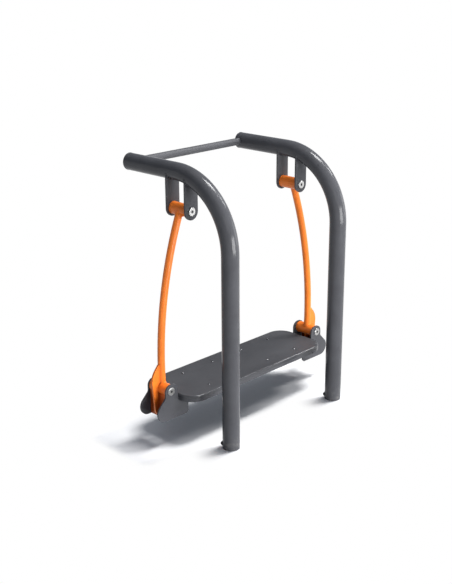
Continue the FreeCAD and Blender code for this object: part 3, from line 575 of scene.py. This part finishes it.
def dome_seam(side):
    """Round the arm's end, where the domed cap is welded on."""
    reach = POST_RADIUS - DOME_SINK
    middle = SIDES[side] * POST_X
    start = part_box(f"{side}_arm_dome")[0].y
    path = []
    for turn in round_turns(DOME_STEPS):
        path.append(Vector((middle + reach * math.cos(turn), start, ARM_Z + reach * math.sin(turn))))
    return path


class Bow:
    """The right swing arm's middle line, an arc in the plane Y = SWING_Y."""

    def __init__(self):
        top = Vector((UPPER_PIVOT.x + ARM_TOP_OFFSET, 0.0, UPPER_PIVOT.z))
        foot = Vector((LOWER_PIVOT.x - ARM_FOOT_INSET, 0.0, LOWER_PIVOT.z))
        chord = foot - top
        self.radius = chord.length ** 2 / (8 * ARM_BOW) + ARM_BOW / 2
        inward = Vector((chord.z, 0.0, -chord.x)).normalized()
        self.centre = (top + foot) / 2 + inward * (self.radius - ARM_BOW)
        self.top_turn = math.atan2(top.z - self.centre.z, top.x - self.centre.x)
        self.foot_turn = math.atan2(foot.z - self.centre.z, foot.x - self.centre.x)

    def wall(self, share, around):
        """A point on the tube's skin; share runs from the top, 0, to the foot, 1."""
        turn = self.top_turn + (self.foot_turn - self.top_turn) * share
        outward = Vector((math.cos(turn), 0.0, math.sin(turn)))
        centre = self.centre + outward * self.radius
        skin = centre + outward * TUBE_RADIUS * math.cos(around)
        return Vector((skin.x, SWING_Y + TUBE_RADIUS * math.sin(around), skin.z))


BOW = Bow()


def mirrored(path, side):
    return [Vector((SIDES[side] * point.x, point.y, point.z)) for point in path]


def barrel_seam(pivot, inner_share, outer_share):
    """Round the swing tube, where its skin meets a barrel; found by halving along the tube."""
    path = []
    for around in round_turns(ROUND_STEPS):
        inside, outside = inner_share, outer_share
        for _ in range(HALVINGS):
            middle = (inside + outside) / 2
            point = BOW.wall(middle, around)
            if math.hypot(point.x - pivot.x, point.z - pivot.z) < BARREL_RADIUS:
                inside = middle
            else:
                outside = middle
        path.append(BOW.wall(outside, around))
    return path


def fin_seam(sign):
    """Down one face of the fin, where it meets the outer wall of the swing tube."""
    lean = math.asin((FIN_HIGH.y - FIN_LOW.y) / 2 / TUBE_RADIUS)
    walls = [BOW.wall(step / FIN_STEPS, sign * lean) for step in range(FIN_STEPS + 1)]
    lowest = LOWER_PIVOT.z + BARREL_RADIUS
    return [point for point in walls if lowest < point.z < FIN_HIGH.z - FIN_TOP_GAP]


def bracket_seam(bracket, face):
    """Along the top of a bracket's shelf, level with the top of the deck rails."""
    low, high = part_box(bracket)
    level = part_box("front_deck_rail")[1].z
    outward = 1 if low.x > 0 else -1
    inner = low.x if outward > 0 else high.x
    along = low.y if face < 0 else high.y
    path = []
    for step in range(BRACKET_STEPS + 1):
        reach = BRACKET_SEAM_START + BRACKET_SEAM_LENGTH * step / BRACKET_STEPS
        path.append(Vector((inner + outward * reach, along, level)))
    return path


def weld_frame_and_board(side):
    """Beads at the lugs, brackets, handle bar and dome of one side."""
    for place in ("front", "rear"):
        lug = f"{side}_{place}_hanger_lug"
        weld_bead(f"{lug}_weld", lug_seam(side, lug), "frame", "dark_coat", closed=True)
        bracket = f"{side}_{place}_bracket"
        for face, word in ((-1, "outer"), (1, "inner")):
            weld_bead(f"{bracket}_{word}_weld", bracket_seam(bracket, face), "board", "dark_coat")
    weld_bead(f"{side}_handle_weld", handle_seam(side), "frame", "dark_coat", closed=True,
              radius=HANDLE_BEAD_RADIUS, material=HANDLE_COAT)
    weld_bead(f"{side}_dome_weld", dome_seam(side), "frame", "dark_coat", closed=True,
              radius=DOME_BEAD_RADIUS)


def weld_arm(side):
    """Beads at the barrels and the fin of one swing arm."""
    arm = f"{side}_arm"
    upper = mirrored(barrel_seam(UPPER_PIVOT, 0.0, BARREL_SEARCH), side)
    weld_bead(f"{side}_upper_barrel_weld", upper, arm, "orange_coat", closed=True)
    lower = mirrored(barrel_seam(LOWER_PIVOT, 1.0, 1.0 - BARREL_SEARCH), side)
    weld_bead(f"{side}_lower_barrel_weld", lower, arm, "orange_coat", closed=True)
    for sign, word in ((-1, "front"), (1, "rear")):
        path = mirrored(fin_seam(sign), side)
        weld_bead(f"{side}_fin_{word}_weld", path, arm, "orange_coat", radius=FIN_BEAD_RADIUS)


def weld_seams():
    for side in SIDES:
        weld_frame_and_board(side)
        weld_arm(side)


# Floor: the part that shows the board's shadow, and how far out each shadow fades into white, in metres

FLOOR_HALF = 60.0
SHADOW_MIDDLE = (-0.11, 0.38)
SHADOW_HALF = (0.67, 0.16)
BOARD_FADE = (0.02, 0.085)
FOOT_FADE = (POST_RADIUS, 0.23)
FLOOR_BOUNCE = (0.50, 0.51, 0.53)
FLOOR_PALE = ((0.94, 0.94, 0.945), (0.96, 0.96, 0.965))

# World: heights of the sky's direction between which the white horizon fades into the sky's colour
HORIZON_FADE = (0.02, 0.30)
HORIZON = (1.0, 1.0, 1.0)
SKY = (0.170, 0.190, 0.225)

# Lamps: name, place, width and height in metres, power in watts; all face LAMP_TARGET
LAMP_TARGET = (0.0, 0.2, 0.7)
STUDIO_LAMPS = (
    ("main_softbox", (3.40, -0.60, 8.60), 2.2, 3.6, 840.0),
    ("side_softbox", (7.40, -2.40, 7.00), 1.8, 1.8, 290.0),
    ("ceiling_panel", (0.0, 0.20, 7.50), 5.0, 5.0, 45.0),
)
FILL_LAMPS = (
    ("front_panel", (0.40, -4.80, 0.95), 3.6, 1.8, 380.0),
    ("right_panel", (5.00, -2.60, 1.60), 3.0, 2.4, 60.0),
    ("camera_panel", (-2.40, -4.30, 3.20), 3.0, 2.0, 30.0),
)

# Camera: angles in degrees, place in metres, lens in millimetres
CAMERA_TURN = -45.0761
CAMERA_RISE = 19.1366
CAMERA_ROLL = -0.4215
CAMERA_PLACE = (-3.5577, -3.1135, 2.3719)
CAMERA_LENS = 60.284


def floor_material():
    """Pale for rays that show it and darker for light that bounces; white away from the shadows."""
    shader = Shader("pale_floor")
    nodes, links = shader.nodes, shader.links
    nodes.remove(shader.surface)
    board = shader.length(*shader.overhang(SHADOW_MIDDLE, SHADOW_HALF))
    foot = shader.length(*shader.overhang((POST_X, 0.0), (0.0, 0.0), mirror=True))
    far = shader.math("MINIMUM", shader.span(board, *BOARD_FADE), shader.span(foot, *FOOT_FADE))
    paths = nodes.new("ShaderNodeLightPath").outputs
    mirrored_rays = shader.at_least(paths["Is Glossy Ray"], paths["Is Transmission Ray"])
    seen = shader.at_least(paths["Is Camera Ray"], mirrored_rays)
    speckled = shader.span(shader.noise(scale=30.0, detail=4.0), 0.3, 0.7)
    pale = shader.blend(speckled, *FLOOR_PALE)
    matt = nodes.new("ShaderNodeBsdfDiffuse")
    links.new(shader.blend(seen, FLOOR_BOUNCE, pale), matt.inputs["Color"])
    white = nodes.new("ShaderNodeEmission")
    mix = nodes.new("ShaderNodeMixShader")
    links.new(shader.times(far, seen), mix.inputs["Fac"])
    links.new(matt.outputs["BSDF"], mix.inputs[1])
    links.new(white.outputs["Emission"], mix.inputs[2])
    links.new(mix.outputs["Shader"], shader.output.inputs["Surface"])
    return shader.material


def make_floor():
    """A wide pale floor that shows the shadow near the object and turns plain white further out."""
    corners = [(x * FLOOR_HALF, y * FLOOR_HALF, 0.0) for x, y in ((-1, -1), (1, -1), (1, 1), (-1, 1))]
    mesh = bpy.data.meshes.new("floor")
    mesh.from_pydata(corners, [], [(0, 1, 2, 3)])
    floor = bpy.data.objects.new("floor", mesh)
    bpy.context.scene.collection.objects.link(floor)
    mesh.materials.append(floor_material())
    return floor


def make_world():
    """White round the horizon, fading upwards to a dim, faintly blue sky."""
    world = bpy.data.worlds.new("studio")
    bpy.context.scene.world = world
    world.use_nodes = True
    nodes, links = world.node_tree.nodes, world.node_tree.links
    split = nodes.new("ShaderNodeSeparateXYZ")
    links.new(nodes.new("ShaderNodeTexCoord").outputs["Generated"], split.inputs["Vector"])
    rise = nodes.new("ShaderNodeMapRange")
    rise.interpolation_type = "SMOOTHSTEP"
    for socket, height in zip(("From Min", "From Max"), HORIZON_FADE):
        rise.inputs[socket].default_value = height
    links.new(split.outputs["Z"], rise.inputs["Value"])
    sky = nodes.new("ShaderNodeMix")
    sky.data_type = "RGBA"
    for socket, colour in zip(COLOUR_INPUTS, (HORIZON, SKY)):
        sky.inputs[socket].default_value = (*colour, 1.0)
    links.new(rise.outputs["Result"], sky.inputs["Factor"])
    links.new(sky.outputs[COLOUR_RESULT], nodes["Background"].inputs["Color"])


def area_light(name, place, width, height, power):
    data = bpy.data.lights.new(name, "AREA")
    data.shape = "RECTANGLE"
    data.size = width
    data.size_y = height
    data.energy = power
    lamp = bpy.data.objects.new(name, data)
    lamp.location = place
    lamp.rotation_euler = (Vector(LAMP_TARGET) - Vector(place)).to_track_quat("-Z", "Y").to_euler()
    lamp.visible_camera = False
    bpy.context.scene.collection.objects.link(lamp)
    return lamp


def make_lights(floor):
    """A main lamp high on the right, two weaker high ones, and low fill panels that leave the floor out."""
    for values in STUDIO_LAMPS:
        area_light(*values)
    left_out = bpy.data.collections.new("left_out_of_the_fill")
    left_out.objects.link(floor)
    left_out.collection_objects[0].light_linking.link_state = "EXCLUDE"
    for values in FILL_LAMPS:
        area_light(*values).light_linking.receiver_collection = left_out


def make_camera():
    """Where the photograph was taken from: turned, raised and rolled a little, with no shift."""
    turn, rise, roll = (math.radians(angle) for angle in (CAMERA_TURN, CAMERA_RISE, CAMERA_ROLL))
    back = Vector((math.sin(turn) * math.cos(rise), -math.cos(turn) * math.cos(rise), math.sin(rise)))
    level = Vector((math.cos(turn), math.sin(turn), 0.0))
    upright = back.cross(level)
    right = level * math.cos(roll) + upright * math.sin(roll)
    up = upright * math.cos(roll) - level * math.sin(roll)
    data = bpy.data.cameras.new("camera")
    data.lens = CAMERA_LENS
    data.sensor_width = 36.0
    data.clip_end = 200.0
    camera = bpy.data.objects.new("camera", data)
    camera.matrix_world = Matrix((right, up, back)).transposed().to_4x4()
    camera.location = CAMERA_PLACE
    bpy.context.scene.collection.objects.link(camera)
    bpy.context.scene.camera = camera


dress_solids()
weld_seams()
floor = make_floor()
make_world()
make_lights(floor)
make_camera()
bpy.context.scene.view_settings.view_transform = "Standard"
